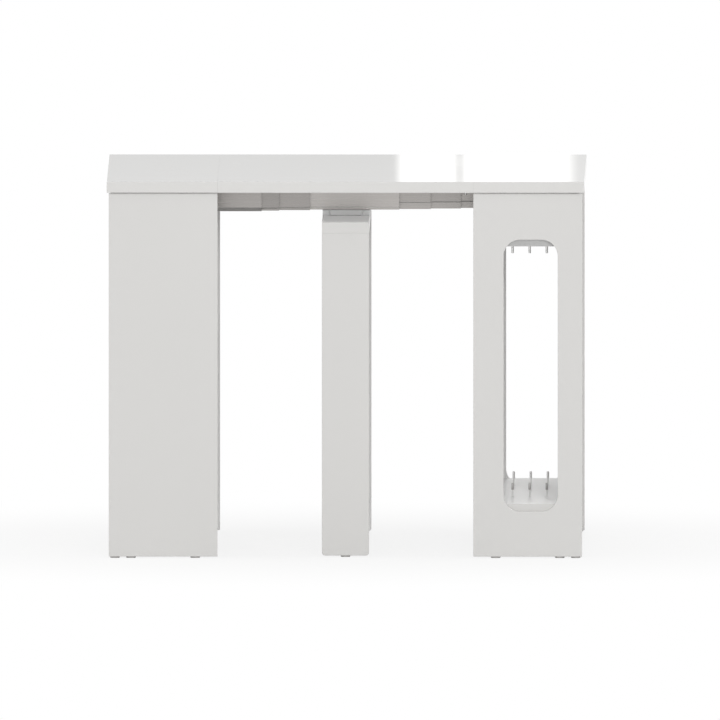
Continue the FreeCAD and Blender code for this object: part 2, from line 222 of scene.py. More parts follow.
def new_sheet(name: str) -> tuple[bpy.types.Material, NodeSheet]:
    """Start a material.

    Args:
        name: The material's name.

    Returns:
        The material and its empty sheet of nodes.
    """
    material = bpy.data.materials.new(name)
    material.use_nodes = True
    return material, NodeSheet(material.node_tree)


@dataclass(frozen=True)
class GlossLacquer:
    """Pale lacquer on board: a slow drift of tone, faint wipe marks and a fine orange peel.

    A board that is rubbed to a satin also has a haze, which shows at a flat angle.
    """

    name: str
    colour: Colour
    drift: float = 0.012
    drift_size: float = 0.35
    gloss: float = 0.05
    haze: float = 0.0
    haze_blur: float = 0.3
    wipe: float = 0.035
    wipe_size: float = 0.09
    wipe_stretch: Point = (1.0, 0.35, 1.0)
    wipe_start: float = 0.45
    wipe_end: float = 0.75
    peel_size: float = 0.0024
    peel_depth: float = 1.2e-6

    def tone(self, sheet: NodeSheet) -> Quantity:
        """The lacquer's slowly drifting colour."""
        return sheet.vary(sheet.noise(sheet.place(), self.drift_size, 1.0), self.colour, self.drift)

    def material(self) -> bpy.types.Material:
        """Make the finish.

        Returns:
            The material.
        """
        material, sheet = new_sheet(self.name)
        wiped = sheet.noise(sheet.place(self.wipe_stretch), self.wipe_size, 3.0)
        peel = sheet.noise(sheet.place(), self.peel_size, 1.0)
        sheet.finish(sheet.add("BsdfPrincipled", sockets={
            "Base Color": self.tone(sheet),
            "Roughness": self.gloss + self.wipe * sheet.ramp(wiped, self.wipe_start, self.wipe_end),
            "Sheen Weight": self.haze,
            "Sheen Roughness": self.haze_blur,
            "Normal": sheet.relief(peel, self.peel_depth),
        }))
        return material


@dataclass(frozen=True)
class LacquerWithPaintedLightInside(GlossLacquer):
    """Gloss lacquer outside and, on the faces of a hollow about the middle of the table, painted light: a
    paler colour.
    """

    # Painted light: the shaded inner faces of the columns and the leg are painted this paler colour.
    painted_light_inside: Colour = (0.93, 0.927, 0.918)
    hollow: Point = (1.0, 1.0, 1.0)
    margin: float = 0.0005
    edge: float = 0.0002

    def within(self, sheet: NodeSheet, axis: str, limit: float) -> Quantity:
        """1 nearer to the middle than a limit along an axis, 0 further out."""
        place = abs(sheet.part(sheet.place(), axis))
        return sheet.step(place, limit + self.margin, self.edge, 1.0, 0.0)

    def tone(self, sheet: NodeSheet) -> Quantity:
        """The paler painted-light colour in the hollow and the lacquer's outside it."""
        x, y, z = (self.within(sheet, axis, limit) for axis, limit in zip("XYZ", self.hollow))
        return sheet.blend(x * y * z, super().tone(sheet), self.painted_light_inside)


@dataclass(frozen=True)
class DrawnAluminium:
    """Anodised extrusion: die lines and wider bands along X, a satin sheen, and painted light and shade below
    a foot.
    """

    name: str
    colour: Colour
    satin: float = 0.26
    satin_spread: float = 0.12
    line_width: float = 0.0011
    line_length: float = 0.9
    line_depth: float = 1.5e-6
    band_width: float = 0.006
    contrast: float = 0.07
    foot: float = 0.0
    foot_painted_light: float = 0.0
    foot_edge: float = 0.0003

    def streaks(self, sheet: NodeSheet, width: float, detail: float) -> Quantity:
        """Noise that is drawn out along X and of a given width across it."""
        stretch = (1.0 / self.line_length, 1.0 / width, 1.0 / width)
        return sheet.noise(sheet.place(stretch), 1.0, detail)

    def material(self) -> bpy.types.Material:
        """Make the finish.

        Returns:
            The material.
        """
        material, sheet = new_sheet(self.name)
        lines = self.streaks(sheet, self.line_width, 2.0)
        bands = self.streaks(sheet, self.band_width, 1.0)
        both = 0.5 * lines + 0.5 * bands
        upper = sheet.vary(both, self.colour, self.contrast)
        # Painted light and shade: below the foot the colour is made lighter or darker by a gain.
        lower = sheet.vary(both, shade(self.colour, 1.0 + self.foot_painted_light), self.contrast)
        below = sheet.step(sheet.part(sheet.place(), "Z"), self.foot, self.foot_edge, 1.0, 0.0)
        sheet.finish(sheet.add("BsdfPrincipled", sockets={
            "Base Color": sheet.blend(below, upper, lower),
            "Metallic": 1.0,
            "Roughness": self.satin + self.satin_spread * (lines - 0.5),
            "Normal": sheet.relief(lines, self.line_depth),
        }))
        return material


@dataclass(frozen=True)
class ZincSteel:
    """Zinc-plated steel: flat grains a few millimetres across, each with its own tone and sheen."""

    name: str
    colour: Colour
    grain_size: float = 0.004
    contrast: float = 0.16
    sheen: float = 0.3
    sheen_spread: float = 0.14
    pit_size: float = 0.0008
    pit_depth: float = 6.0e-6

    def material(self) -> bpy.types.Material:
        """Make the finish.

        Returns:
            The material.
        """
        material, sheet = new_sheet(self.name)
        place = sheet.place()
        cells = {"Vector": place, "Scale": 1.0 / self.grain_size}
        grain = sheet.part(sheet.add("TexVoronoi", sockets=cells, output="Color"), "X")
        pits = sheet.noise(place, self.pit_size)
        sheet.finish(sheet.add("BsdfPrincipled", sockets={
            "Base Color": sheet.vary(grain, self.colour, self.contrast),
            "Metallic": 1.0,
            "Roughness": self.sheen + self.sheen_spread * (grain - 0.5),
            "Normal": sheet.relief(pits, self.pit_depth),
        }))
        return material


@dataclass(frozen=True)
class SleevedPinWithPaintedShade:
    """Bright plated pins; in front of the table's middle their sleeves are painted dark as shade, paling
    towards their tips as a painted highlight.
    """

    name: str
    sleeve_height: float
    plate: Colour = (0.93, 0.928, 0.922)
    plate_spread: float = 0.03
    sleeve_painted_shade: Colour = (0.40, 0.385, 0.38)
    tip_painted_highlight: Colour = (0.64, 0.63, 0.625)
    sleeve_length: float = 0.014
    blur: float = 0.0003
    matt: float = 0.2
    sleeve_matt: float = 0.3
    matt_spread: float = 0.1
    cloud_size: float = 0.004
    grain_size: float = 0.0006
    grain_depth: float = 8.0e-6

    def material(self) -> bpy.types.Material:
        """Make the finish.

        Returns:
            The material.
        """
        material, sheet = new_sheet(self.name)
        place = sheet.place()
        height = sheet.part(place, "Z")
        front = sheet.step(sheet.part(place, "Y"), 0.0, self.blur, 1.0, 0.0)
        grain = sheet.noise(place, self.grain_size, 1.0)
        # Painted shade on the front row's sleeves only, and a painted highlight towards their tips.
        painted_shade_share = sheet.step(height, self.sleeve_height, self.blur) * front
        plate = sheet.vary(sheet.noise(place, self.cloud_size), self.plate, self.plate_spread)
        painted_highlight_share = sheet.ramp(height, self.sleeve_height, self.sleeve_height + self.sleeve_length)
        sleeve_painted_shade = sheet.blend(painted_highlight_share, self.sleeve_painted_shade, self.tip_painted_highlight)
        sheet.finish(sheet.add("BsdfPrincipled", sockets={
            "Base Color": sheet.blend(painted_shade_share, plate, sleeve_painted_shade),
            "Metallic": 1.0 - painted_shade_share,
            "Roughness": self.matt + self.sleeve_matt * painted_shade_share + self.matt_spread * (grain - 0.5),
            "Normal": sheet.relief(grain, self.grain_depth),
        }))
        return material


@dataclass(frozen=True)
class MouldedPlastic:
    """Moulded plastic with a fine spark grain and slightly cloudy colour."""

    name: str
    colour: Colour
    matt: float = 0.5
    matt_spread: float = 0.14
    grain_size: float = 0.0007
    grain_depth: float = 2.5e-5
    cloud_size: float = 0.03
    cloud: float = 0.1

    def material(self) -> bpy.types.Material:
        """Make the finish.

        Returns:
            The material.
        """
        material, sheet = new_sheet(self.name)
        place = sheet.place()
        grain = sheet.noise(place, self.grain_size, 1.0)
        sheet.finish(sheet.add("BsdfPrincipled", sockets={
            "Base Color": sheet.vary(sheet.noise(place, self.cloud_size), self.colour, self.cloud),
            "Roughness": self.matt + self.matt_spread * (grain - 0.5),
            "Normal": sheet.relief(grain, self.grain_depth),
        }))
        return material


class Palette:
    """The finishes that the table's pieces share, each made once."""

    def __init__(self) -> None:
        """Make the lacquers, the metals and the plastics."""
        # Painted light: the top's lacquer is made a touch paler.
        self.top = GlossLacquer("gloss_lacquer_painted_light", shade(LACQUER, TOP_PAINTED_LIGHT)).material()
        # Painted light: paler colour on the inner faces of the columns and the leg.
        self.columns = LacquerWithPaintedLightInside("column_lacquer_painted_light_inside", LACQUER, hollow=TableEnd.hollow()).material()
        self.leg = LacquerWithPaintedLightInside("leg_lacquer_painted_light_inside", LACQUER, hollow=CentreLeg.hollow()).material()
        self.cap = GlossLacquer("satin_cap_lacquer", LACQUER, gloss=0.33, wipe=0.02, haze=0.64).material()
        # Painted light: the rack floor is made paler than the lacquer, standing in for light in the column's
        # shade.
        self.rack_floor = GlossLacquer(
            "satin_inner_lacquer_painted_light", (0.735, 0.728, 0.714), gloss=0.3, wipe=0.02, haze=0.35
        ).material()
        # Painted shade: the rack ceiling is darkened grey, standing in for the shade on its front edge.
        self.rack_ceiling = GlossLacquer(
            "inner_lacquer_painted_shade", (0.60, 0.6, 0.597), gloss=0.35, wipe=0.1
        ).material()
        # Painted light: the blocks' and sockets' aluminium is made paler, each by its own amount, for the
        # light they get under the rails.
        self.block = DrawnAluminium(
            "satin_block_aluminium_painted_light", (0.89, 0.889, 0.889), line_length=0.05, satin=0.42
        ).material()
        self.socket = DrawnAluminium(
            "satin_socket_aluminium", (0.83, 0.829, 0.829), line_length=0.05, satin=0.42
        ).material()
        self.zinc = ZincSteel("zinc_plated_steel", (0.52, 0.52, 0.51)).material()
        self.bright = ZincSteel(
            "bright_steel", (0.86, 0.85, 0.84), contrast=0.03, sheen=0.22, sheen_spread=0.06
        ).material()
        self.strip = MouldedPlastic("grey_strip_plastic", (0.30, 0.292, 0.284)).material()
        self.plastic = MouldedPlastic("dark_moulded_plastic", (0.05, 0.046, 0.042)).material()
        self.glides = MouldedPlastic("grey_glide_plastic", (0.45, 0.437, 0.428)).material()


def grid_quads(rows: int, columns: int, closed: bool = False) -> np.ndarray:
    """The quads between neighbours of a grid of points that are numbered row by row.

    Args:
        rows: How many rows of points there are.
        columns: How many points each row has.
        closed: Whether each row runs back to its first point.

    Returns:
        Four point numbers for each quad.
    """
    steps = columns if closed else columns - 1
    row, column = np.meshgrid(np.arange(rows - 1), np.arange(steps), indexing="ij")
    after = (column + 1) % columns
    start, end = row * columns, (row + 1) * columns
    return np.stack([start + column, start + after, end + after, end + column], axis=-1).reshape(-1, 4)


@dataclass
class Surface:
    """Points and quads of a surface, or of several that belong together."""

    points: np.ndarray
    quads: np.ndarray

    def __add__(self, other: "Surface") -> "Surface":
        """Both surfaces in one."""
        return Surface(
            np.concatenate([self.points, other.points]),
            np.concatenate([self.quads, other.quads + len(self.points)]),
        )

    def at(self, origins: np.ndarray, axes: np.ndarray) -> "Surface":
        """A copy in each of several frames: every point is its origin plus its coordinates times the axes.

        Args:
            origins: One origin for each copy.
            axes: Three axes for each copy, as rows.

        Returns:
            All the copies in one surface.
        """
        count, size = len(origins), len(self.points)
        points = origins[:, None, :] + np.einsum("pi,kij->kpj", self.points, axes)
        quads = self.quads[None, :, :] + np.arange(count)[:, None, None] * size
        return Surface(points.reshape(-1, 3), quads.reshape(-1, 4))

    def piece(self, name: str, material: bpy.types.Material, smooth_angle: float = 40.0) -> bpy.types.Object:
        """Make the object, its seams and poles merged and its faces turned outwards.

        Args:
            name: The piece's name.
            material: Its finish.
            smooth_angle: Edges that turn by more than this many degrees stay sharp.

        Returns:
            The object, at the origin.
        """
        mesh = bpy.data.meshes.new(name)
        mesh.from_pydata(self.points.tolist(), [], self.quads.tolist())
        work = bmesh.new()
        work.from_mesh(mesh)
        bmesh.ops.remove_doubles(work, verts=work.verts, dist=MERGE_DISTANCE)
        bmesh.ops.recalc_face_normals(work, faces=work.faces)
        work.to_mesh(mesh)
        work.free()
        mesh.materials.append(material)
        mesh.polygons.foreach_set("use_smooth", np.ones(len(mesh.polygons), dtype=bool))
        mesh.set_sharp_from_angle(angle=math.radians(smooth_angle))
        piece = bpy.data.objects.new(name, mesh)
        bpy.context.scene.collection.objects.link(piece)
        return piece


def turned(profile: Sequence[tuple[float, float]], segments: int) -> Surface:
    """A profile of radius and height, carried once round the third axis.

    Each point is (radius cos angle, radius sin angle, height); ends of radius zero close the surface.

    Args:
        profile: Pairs of radius and height.
        segments: Steps round the axis.

    Returns:
        The surface.
    """
    radius, height = np.array(profile, dtype=float).T
    angle = np.arange(segments) * TURN / segments
    points = np.stack([
        radius[:, None] * np.cos(angle),
        radius[:, None] * np.sin(angle),
        height[:, None] * np.ones(segments),
    ], axis=-1)
    return Surface(points.reshape(-1, 3), grid_quads(len(radius), segments, closed=True))


def right_handed(first: np.ndarray, second: np.ndarray) -> np.ndarray:
    """Right-handed frames from their first and second axes, as rows."""
    return np.stack([first, second, np.cross(first, second)], axis=1)


def crowned_section(depths: tuple[float, float], heights: tuple[float, float], crown: float) -> np.ndarray:
    """The section of a strip with a crowned face and a flat back.

    At height v from -1 to 1 between its edges, the face lies the crown times v^2 behind its front.

    Args:
        depths: How far its front and its back lie behind the face that it is let into.
        heights: Its lower and upper edge.
        crown: How far its edges fall back.

    Returns:
        Pairs of depth and height.
    """
    v = np.linspace(-1.0, 1.0, CROWN_STEPS)
    low, high = heights
    face = np.stack([depths[0] + crown * v ** 2, (low + high) / 2 + v * (high - low) / 2], axis=-1)
    return np.concatenate([face, [(depths[1], high), (depths[1], low)]])


def behind_face(section: np.ndarray, sign: int, outside: float, level: float) -> np.ndarray:
    """Set a section of depths and heights behind a face: sign times (outside - depth), and level + height."""
    depth, height = section.T
    return np.stack([sign * (outside - depth), level + height], axis=-1)


def bar(section: np.ndarray, start: float, end: float) -> Surface:
    """A bar along X: a section carried from end to end and drawn together to its middle there.

    Args:
        section: Pairs of Y and Z.
        start: Its lower end along X.
        end: Its upper end along X.

    Returns:
        The closed bar.
    """
    middle = np.broadcast_to(section.mean(axis=0), section.shape)
    rows = np.stack([middle, section, section, middle])
    places = np.broadcast_to(np.array([start, start, end, end])[:, None, None], rows.shape[:2] + (1,))
    points = np.concatenate([places, rows], axis=-1)
    return Surface(points.reshape(-1, 3), grid_quads(len(rows), len(section), closed=True))


def mount(piece: bpy.types.Object, body: str) -> bpy.types.Object:
    """Let a piece ride on a body.

    Args:
        piece: The piece.
        body: The body.

    Returns:
        The same piece.
    """
    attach(piece, body)
    return piece


@dataclass(frozen=True)
class ScrewShape:
    """A domed screw head with a cross recess, on a short shank."""

    head_radius: float = 0.004
    head_height: float = 0.0022
    dome_power: float = 2.4
    shank_radius: float = 0.002
    shank_length: float = 0.0025
    shank_inside: float = 0.0003
    shank_segments: int = 12
    recess_depth: float = 0.0013
    recess_width: float = 0.0009
    recess_reach: float = 0.0021
    recess_slope: float = 0.5
    steps: int = 17

    def disc(self) -> tuple[np.ndarray, np.ndarray]:
        """A square grid drawn onto the head's disc: x = u sqrt(1 - v^2/2) and y = v sqrt(1 - u^2/2).

        Returns:
            X and Y of the grid's points.
        """
        line = np.linspace(-1.0, 1.0, self.steps)
        u, v = np.meshgrid(line, line, indexing="ij")
        x = u * np.sqrt(1.0 - v * v / 2.0)
        y = v * np.sqrt(1.0 - u * u / 2.0)
        return x * self.head_radius, y * self.head_radius

    def cross_bar(self, along: np.ndarray, across: np.ndarray) -> np.ndarray:
        """One bar of the cross: 1 at its middle, falling straight to 0 over the outer share of each side.

        Args:
            along: Place along the bar.
            across: Place across it.

        Returns:
            The share of the recess's depth.
        """
        wide, far = (
            np.clip((limit - np.abs(place)) / (self.recess_slope * limit), 0.0, 1.0)
            for place, limit in ((across, self.recess_width), (along, self.recess_reach))
        )
        return wide * far

    def surface(self) -> Surface:
        """The head's dome, an ellipsoid less the deeper bar of a cross, its flat underside, and the shank.

        Returns:
            A closed surface that stands on its bracket at the origin, along the third axis.
        """
        x, y = self.disc()
        radius = np.hypot(x, y) / self.head_radius
        dome = self.head_height * np.sqrt(np.clip(1.0 - radius ** self.dome_power, 0.0, 1.0))
        cross = np.maximum(self.cross_bar(x, y), self.cross_bar(y, x))
        top = np.stack([x, y, dome - self.recess_depth * cross], axis=-1).reshape(-1, 3)
        under = np.stack([x, y, np.zeros_like(x)], axis=-1).reshape(-1, 3)
        quads = grid_quads(self.steps, self.steps)
        foot, head = -self.shank_length, self.shank_inside
        profile = [(0.0, foot), (self.shank_radius, foot), (self.shank_radius, head), (0.0, head)]
        return Surface(top, quads) + Surface(under, quads[:, ::-1]) + turned(profile, self.shank_segments)


@dataclass
class BracketScrews:
    """The screws of a set of angle brackets, two to a bracket."""

    name: str
    node: str
    body: str
    places: Sequence[BracketPlace]
    hole_distance: float = 0.01488
    bracket_thickness: float = 0.0025

    def build(self, finish: bpy.types.Material) -> bpy.types.Object:
        """Set one screw on each leg of every bracket, in place of the plain CAD screws.

        Args:
            finish: The screws' material.

        Returns:
            The piece.
        """
        corners, first, second = np.array(self.places, dtype=float).transpose(1, 0, 2)
        third = np.cross(first, second)
        on_first = corners + self.hole_distance * first + self.bracket_thickness * second
        on_second = corners + self.hole_distance * second + self.bracket_thickness * first
        origins = np.concatenate([on_first, on_second])
        axes = np.concatenate([right_handed(third, first), right_handed(second, third)])
        piece = mount(ScrewShape().surface().at(origins, axes).piece(self.name, finish), self.body)
        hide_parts(self.node)
        return piece


def dress(material: bpy.types.Material, *names: str) -> None:
    """Give a finish to CAD nodes.

    Args:
        material: The finish.
        names: The nodes' names.
    """
    for name in names:
        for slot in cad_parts[name].material_slots:
            slot.material = material
        LOG.info("dressed %s in %s", name, material.name)


class SubAssembly:
    """A part of the table that dresses its CAD nodes and adds pieces of its own."""

    def dress(self, finishes: Palette) -> None:
        """Give the CAD nodes their finishes."""
        raise NotImplementedError

    def build(self, finishes: Palette) -> list[bpy.types.Object]:
        """Make the new pieces, of which a plain sub-assembly has none."""
        return []


@dataclass
class TableEnd(SubAssembly):
    """A column with its half top."""

    side: Side
    corner_shares: tuple[float, ...] = (0.06, 0.5, 0.94)
    panel_shares: tuple[float, ...] = (0.35, 0.8)
    end_shares: tuple[float, ...] = (-0.88, 0.0, 0.88)
    lipping_height: float = 0.0009
    lipping_depth: float = 0.004
    lipping_set_back: float = 0.0001
    lipping_round: float = 0.0004
    lipping_steps: int = 7

    @property
    def name(self) -> str:
        """The side's name, as the CAD nodes start with it."""
        return self.side.name.lower()

    @property
    def body(self) -> str:
        """The body that the whole end belongs to."""
        return self.name + "_end"

    @staticmethod
    def hollow() -> Point:
        """Half the length and half the width between the columns' panels, and the panels' height."""
        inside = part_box("left_front_panel")[1]
        return abs(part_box("left_end_panel")[1].x), abs(inside.y), inside.z

    def dress(self, finishes: Palette) -> None:
        """Give the end's CAD pieces their finishes.

        Args:
            finishes: The table's finishes.
        """
        for finish, parts in (
            (finishes.top, ("half_top",)),
            (finishes.columns, ("front_panel", "back_panel", "end_panel")),
            (finishes.plastic, ("rail_packers", "leaf_pads")),
            (finishes.glides, ("feet", "top_spacers")),
            (finishes.zinc, ("corner_brackets", "top_brackets")),
        ):
            dress(finish, *(self.name + "_" + part for part in parts))

    def corner_places(self) -> list[BracketPlace]:
        """Find the brackets between the panels and the end panel.

        Returns:
            The place of each bracket.
        """
        low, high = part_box(self.name + "_end_panel")
        inside = low.x if self.side is Side.RIGHT else high.x
        places = []
        for face in Face:
            wall = high.y if face is Face.BACK else low.y
            for share in self.corner_shares:
                corner = (inside, wall, low.z + share * (high.z - low.z))
                places.append((corner, (-self.side.value, 0.0, 0.0), (0.0, -face.value, 0.0)))
        return places

    def top_places(self) -> list[BracketPlace]:
        """Find the brackets between the panels and the half top.

        Returns:
            The place of each bracket.
        """
        low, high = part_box(self.name + "_end_panel")
        panel_low, panel_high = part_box(self.name + "_front_panel")
        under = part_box(self.name + "_half_top")[0].z
        inside, mouth = (low.x, panel_low.x) if self.side is Side.RIGHT else (high.x, panel_high.x)
        places = []
        for face in Face:
            wall = high.y if face is Face.BACK else low.y
            for share in self.panel_shares:
                corner = (mouth + share * (inside - mouth), wall, under)
                places.append((corner, (0.0, -face.value, 0.0), DOWN))
        for share in self.end_shares:
            places.append(((inside, share * high.y, under), (-self.side.value, 0.0, 0.0), DOWN))
        return places

    def lipping_section(self) -> np.ndarray:
        """The section of a lipping: flat, with a quarter round at its outer upper edge.

        At an angle a from 0 to a right angle, the round lies its radius times (1 - cos a) behind the
        lipping's face and its radius times (1 - sin a) below its top.

        Returns:
            Pairs of depth behind the panel's face and height above the panel.
        """
        angle = np.linspace(0.0, TURN / 4, self.lipping_steps)
        depth = self.lipping_set_back + self.lipping_round * (1.0 - np.cos(angle))
        height = self.lipping_height - self.lipping_round * (1.0 - np.sin(angle))
        foot = [(self.lipping_set_back, 0.0)]
        back = [(self.lipping_depth, self.lipping_height), (self.lipping_depth, 0.0)]
        return np.concatenate([foot, np.stack([depth, height], axis=-1), back])

    def lippings(self, lacquer: bpy.types.Material) -> bpy.types.Object:
        """Thin lippings along the upper outer edges of the three panels.

        Args:
            lacquer: Their finish.

        Returns:
            The piece.
        """
        section = self.lipping_section()
        low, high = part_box(self.name + "_front_panel")
        end_low, end_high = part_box(self.name + "_end_panel")
        outside = max(abs(end_low.x), abs(end_high.x))
        end_strip = bar(behind_face(section, self.side.value, outside, high.z), end_low.y, end_high.y)
        x_and_y_swapped = np.eye(3)[[1, 0, 2]]
        strips = [end_strip.at(np.zeros((1, 3)), x_and_y_swapped[None])]
        start, end = low.x + self.lipping_set_back, high.x - self.lipping_set_back
        strips += [bar(behind_face(section, face.value, abs(low.y), high.z), start, end) for face in Face]
        piece = reduce(operator.add, strips).piece(self.name + "_panel_lippings", lacquer)
        return mount(piece, self.body)

    def build(self, finishes: Palette) -> list[bpy.types.Object]:
        """Set the screws of the end's brackets and the lippings of its panels.

        Args:
            finishes: The table's finishes.

        Returns:
            The new pieces.
        """
        pieces = [self.lippings(finishes.columns)]
        for kind, places in (("corner", self.corner_places()), ("top", self.top_places())):
            start = self.name + "_" + kind
            screws = BracketScrews(start + "_cross_screws", start + "_screws", self.body, places)
            pieces.append(screws.build(finishes.zinc))
        return pieces


@dataclass
class RailSet(SubAssembly):
    """The seven pairs of interlocking rails."""

    count: int = 7
    wall: float = 0.002
    thickness: float = 0.0174
    slot_floor: float = 0.0108
    head_proud: float = 0.0069
    head_lip: float = 0.003
    tall_head_margin: float = 0.0063
    low_head_margin: float = 0.0145
    strip_height: float = 0.0074
    painted_highlight_line: float = 0.0016
    groove_height: float = 0.0022
    groove_depth: float = 0.001
    groove_fit: float = 0.00005
    groove_crown: float = 0.25
    plug_inset: float = 0.0006
    plug_thickness: float = 0.003
    plug_dish: float = 0.0007
    plug_fit: float = 0.00005
    plug_steps: int = 13
    stop_drop: float = 0.0167
    stop_past: float = 0.009
    stop_screw: ScrewShape = ScrewShape(head_radius=0.0028, head_height=0.0018, recess_depth=0.0005)
    metal: Colour = (0.504, 0.482, 0.463)
    strip_colour: Colour = (0.27, 0.262, 0.254)

    BODIES = ("left_end", "left_middle_rails", "left_inner_rails", "centre", "right_inner_rails",
              "right_middle_rails", "right_end")
    # Painted light and shade: one anodising, each pair's tone standing in for the light that reaches it.
    PAINTED_LIGHT_TONES = (0.795, 0.68, 0.742, 0.99, 0.822, 0.802, 0.892)
    # Painted light and shade at each rail's foot: lighter or darker below its head, as light and shade fall
    # there.
    FOOT_PAINTED_LIGHTS = (0.06, 0.04, -0.06, -0.05, 0.06, 0.06, 0.04)
    # Painted light: each pair's groove strips are made paler to offset the shade under its heads.
    STRIP_PAINTED_LIGHT_TONES = (1.2, 2.0, 3.3, 2.0, 1.6, 1.8)

    @staticmethod
    def rail(number: int, face: Face) -> str:
        """The name of a rail."""
        return "rail_%d_%s" % (number, face.name.lower())

    def dress(self, finishes: Palette) -> None:
        """Give each pair of rails the one anodising, painted lighter or darker as light and shade fall on it,
        and the first pair's wear strips their finish.

        Args:
            finishes: The table's finishes.
        """
        for number, (tone, gain) in enumerate(zip(self.PAINTED_LIGHT_TONES, self.FOOT_PAINTED_LIGHTS), start=1):
            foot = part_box(self.rail(number, Face.FRONT))[0].z + self.foot_height(number)
            name = "satin_rail_aluminium_%d" % number
            finish = DrawnAluminium(name, shade(self.metal, tone), foot=foot, foot_painted_light=gain)
            dress(finish.material(), *(self.rail(number, face) for face in Face))
        dress(finishes.strip, "rail_1_wear_strips")

    def foot_height(self, number: int) -> float:
        """How high the painted light and shade at a rail's foot reaches: to its head, or, as a painted
        highlight, just past the first rail's wear strip.

        Args:
            number: The rail's number.

        Returns:
            The height above the rail's underside.
        """
        if number == 1:
            return self.strip_height + self.painted_highlight_line
        return self.tall_head_margin if number <= (self.count + 1) // 2 else self.low_head_margin

    def chamber(self, number: int, face: Face) -> tuple[float, float, float, float]:
        """The chamber's ends along Y, outer end first, and along Z.

        Args:
            number: The rail's number.
            face: Front or back of the table.

        Returns:
            Outer Y, inner Y, low Z and high Z.
        """
        low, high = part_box(self.rail(number, face))
        proud = 0.0 if number == 1 else self.head_proud
        outside = (low.y if face is Face.FRONT else -high.y) + proud
        back = self.thickness if number == self.count else self.slot_floor
        start = outside + self.wall
        end = outside + back - self.wall
        foot = low.z + self.wall + (self.strip_height if number == 1 else 0.0)
        sign = -face.value
        return sign * start, sign * end, foot, high.z - self.wall

    def plug(self, outer: float, inner: float, low: float, high: float) -> Surface:
        """A closed plug for a chamber, dished like a shallow pillow turned inwards.

        With u and v from -1 to 1 across and up the chamber, the face lies at minus the dish times
        (1 - u^2)(1 - v^2) behind the rim; the back is flat.

        Args:
            outer: Outer end of the chamber along Y.
            inner: Inner end along Y.
            low: Lower end along Z.
            high: Upper end along Z.

        Returns:
            The plug with its rim at X zero, facing along +X.
        """
        line = np.linspace(-1.0, 1.0, self.plug_steps)
        u, v = np.meshgrid(line, line, indexing="ij")
        y = (outer + inner) / 2 + u * (abs(inner - outer) / 2 - self.plug_fit)
        z = (low + high) / 2 + v * ((high - low) / 2 - self.plug_fit)
        dish = -self.plug_dish * (1.0 - u ** 2) * (1.0 - v ** 2)
        rim = np.isclose(np.maximum(np.abs(u), np.abs(v)), 1.0)
        back = np.where(rim, 0.0, -self.plug_thickness)
        quads = grid_quads(self.plug_steps, self.plug_steps)
        face = Surface(np.stack([dish, y, z], axis=-1).reshape(-1, 3), quads)
        rear = Surface(np.stack([back, y, z], axis=-1).reshape(-1, 3), quads[:, ::-1])
        return face + rear

    def end_plugs(self, number: int, plastic: bpy.types.Material) -> bpy.types.Object:
        """Plugs in both ends of a pair of rails.

        Args:
            number: The pair's number.
            plastic: Their finish.

        Returns:
            The piece.
        """
        turns = np.stack([np.eye(3), np.diag([-1.0, 1.0, 1.0])])
        plugs = []
        for face in Face:
            low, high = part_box(self.rail(number, face))
            ends = np.array([(high.x - self.plug_inset, 0.0, 0.0), (low.x + self.plug_inset, 0.0, 0.0)])
            plugs.append(self.plug(*self.chamber(number, face)).at(ends, turns))
        piece = reduce(operator.add, plugs).piece("rail_%d_end_plugs" % number, plastic)
        return mount(piece, self.BODIES[number - 1])

    def strip_section(self, number: int) -> np.ndarray:
        """The section of a strip in the groove at the root of a rail's head.

        Args:
            number: The rail's number.

        Returns:
            Pairs of depth behind the rail's face and height above its foot.
        """
        head = self.foot_height(number)
        low = head - self.groove_height + self.groove_fit
        high = head + self.head_lip - self.groove_fit
        depths = (self.groove_fit, self.groove_depth - self.groove_fit)
        return crowned_section(depths, (low, high), self.groove_crown * self.groove_depth)

    def groove_strips(self, number: int, plastic: bpy.types.Material) -> bpy.types.Object:
        """Glide strips in the grooves of a pair of rails, their section carried along X between closed ends.

        Args:
            number: The pair's number.
            plastic: Their finish.

        Returns:
            The piece.
        """
        strips = []
        for face in Face:
            low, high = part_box(self.rail(number, face))
            outside = max(abs(low.y), abs(high.y)) - self.head_proud
            section = behind_face(self.strip_section(number), face.value, outside, low.z)
            strips.append(bar(section, low.x + self.plug_inset, high.x - self.plug_inset))
        piece = reduce(operator.add, strips).piece("rail_%d_groove_strips" % number, plastic)
        return mount(piece, self.BODIES[number - 1])

    def stop_screws(self, steel: bpy.types.Material) -> bpy.types.Object:
        """A stop screw in each last rail, just past the end of the rail before it.

        Args:
            steel: Their finish.

        Returns:
            The piece.
        """
        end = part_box("rail_6_front")[1].x
        low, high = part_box("rail_7_front")
        height = high.z - self.stop_drop
        origins = np.array([(end + self.stop_past, face.value * abs(low.y), height) for face in Face])
        first = np.array([(1.0, 0.0, 0.0) for _ in Face])
        second = np.array([(0.0, 0.0, -face.value) for face in Face], dtype=float)
        screws = self.stop_screw.surface().at(origins, right_handed(first, second))
        return mount(screws.piece("rail_7_stop_screws", steel), "right_end")

    def build(self, finishes: Palette) -> list[bpy.types.Object]:
        """Close every rail's ends with plugs, lay strips in the grooves and set the last pair's stop screws.

        Args:
            finishes: The table's finishes.

        Returns:
            The new pieces.
        """
        pieces = [self.end_plugs(number, finishes.plastic) for number in range(1, self.count + 1)]
        for number, tone in enumerate(self.STRIP_PAINTED_LIGHT_TONES, start=2):
            finish = MouldedPlastic("grey_groove_plastic_%d" % number, shade(self.strip_colour, tone))
            pieces.append(self.groove_strips(number, finish.material()))
        pieces.append(self.stop_screws(finishes.bright))
        return pieces


